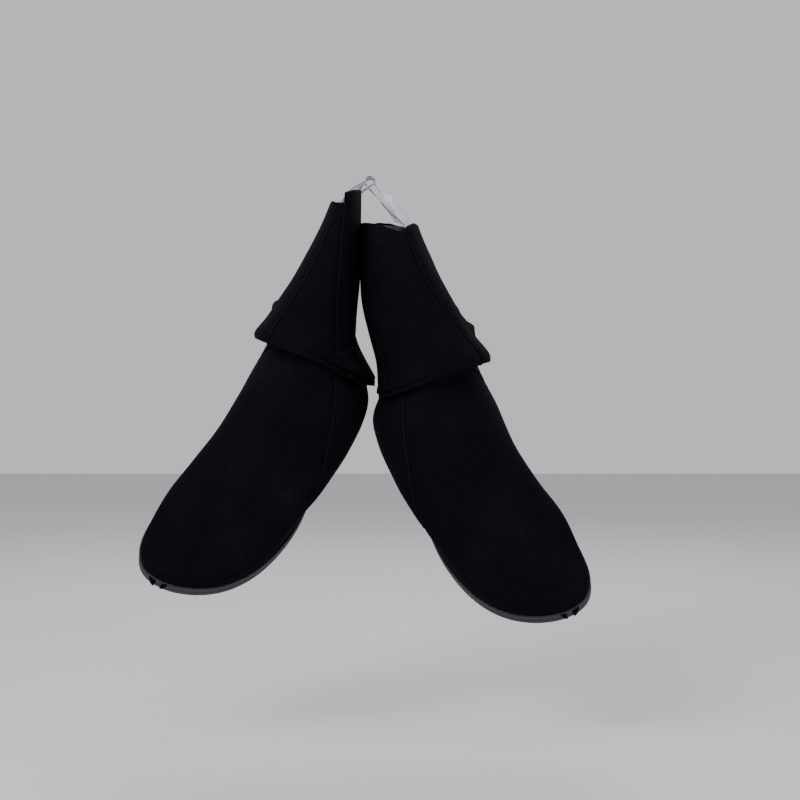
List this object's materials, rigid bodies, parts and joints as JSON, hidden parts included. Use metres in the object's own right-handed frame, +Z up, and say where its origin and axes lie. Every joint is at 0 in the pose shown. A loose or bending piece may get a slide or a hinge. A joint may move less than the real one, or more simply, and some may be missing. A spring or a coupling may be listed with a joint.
{
  "type": "neoprene_boots",
  "caption": "Black pull-on neoprene water-sports boots with rubber soles and red linings, hung by their cuff loops with the toes splayed apart",
  "frame": {"origin": "top of the hanging loops, where both rest on a hook", "axes": "+Z up, +Y towards the wall behind, the insteps face -Y, the left foot's boot is at -X"},
  "size_m": [0.3555, 0.1534, 0.3662],
  "materials": {
    "neoprene": "matt fine knit over foam",
    "lining": "red knit",
    "sole_rubber": "stippled matt",
    "seam_thread": "matt thread",
    "seam_tape": "smooth tape",
    "loop_tape": "translucent woven tape",
    "insole_board": "fibre board",
    "footbed_foam": "foam"
  },
  "bodies": {
    "left_foot": {"left_outsole": "sole_rubber", "left_rand": "sole_rubber", "left_insole_board": "insole_board", "left_vamp_panel": "neoprene", "left_heel_panel": "neoprene", "left_foot_lining": "lining", "left_footbed": "footbed_foam", "left_foot_seam_thread": "seam_thread"},
    "left_shaft": {"left_shaft_front_panel": "neoprene", "left_shaft_back_panel": "neoprene", "left_shaft_lining": "lining", "left_shaft_seam_thread": "seam_thread", "left_seam_tape": "seam_tape", "left_hang_loop": "loop_tape", "left_loop_tack": "seam_thread"},
    "right_foot": {"right_outsole": "sole_rubber", "right_rand": "sole_rubber", "right_insole_board": "insole_board", "right_vamp_panel": "neoprene", "right_heel_panel": "neoprene", "right_foot_lining": "lining", "right_footbed": "footbed_foam", "right_foot_seam_thread": "seam_thread"},
    "right_shaft": {"right_shaft_front_panel": "neoprene", "right_shaft_back_panel": "neoprene", "right_shaft_lining": "lining", "right_shaft_seam_thread": "seam_thread", "right_seam_tape": "seam_tape", "right_hang_loop": "loop_tape", "right_loop_tack": "seam_thread"}
  },
  "joints": [
    {"name": "left_swing", "type": "hinge", "parent": "right_shaft", "child": "left_shaft", "pos_m": [0, 0, 0], "axis": [0, 1, 0], "range_deg": [0, 25]},
    {"name": "left_ankle", "type": "hinge", "parent": "left_shaft", "child": "left_foot", "pos_m": [-0.05612, -0.10251, -0.15346], "axis": [-0.9191, 0, 0.3939], "range_deg": [-6, 50], "stiffness_Nm_per_rad": 2, "springref_deg": -3.72},
    {"name": "right_ankle", "type": "hinge", "parent": "right_shaft", "child": "right_foot", "pos_m": [0.06196, -0.10251, -0.17111], "axis": [-0.9397, 0, -0.342], "range_deg": [-6, 50], "stiffness_Nm_per_rad": 2, "springref_deg": -3.72}
  ]
}
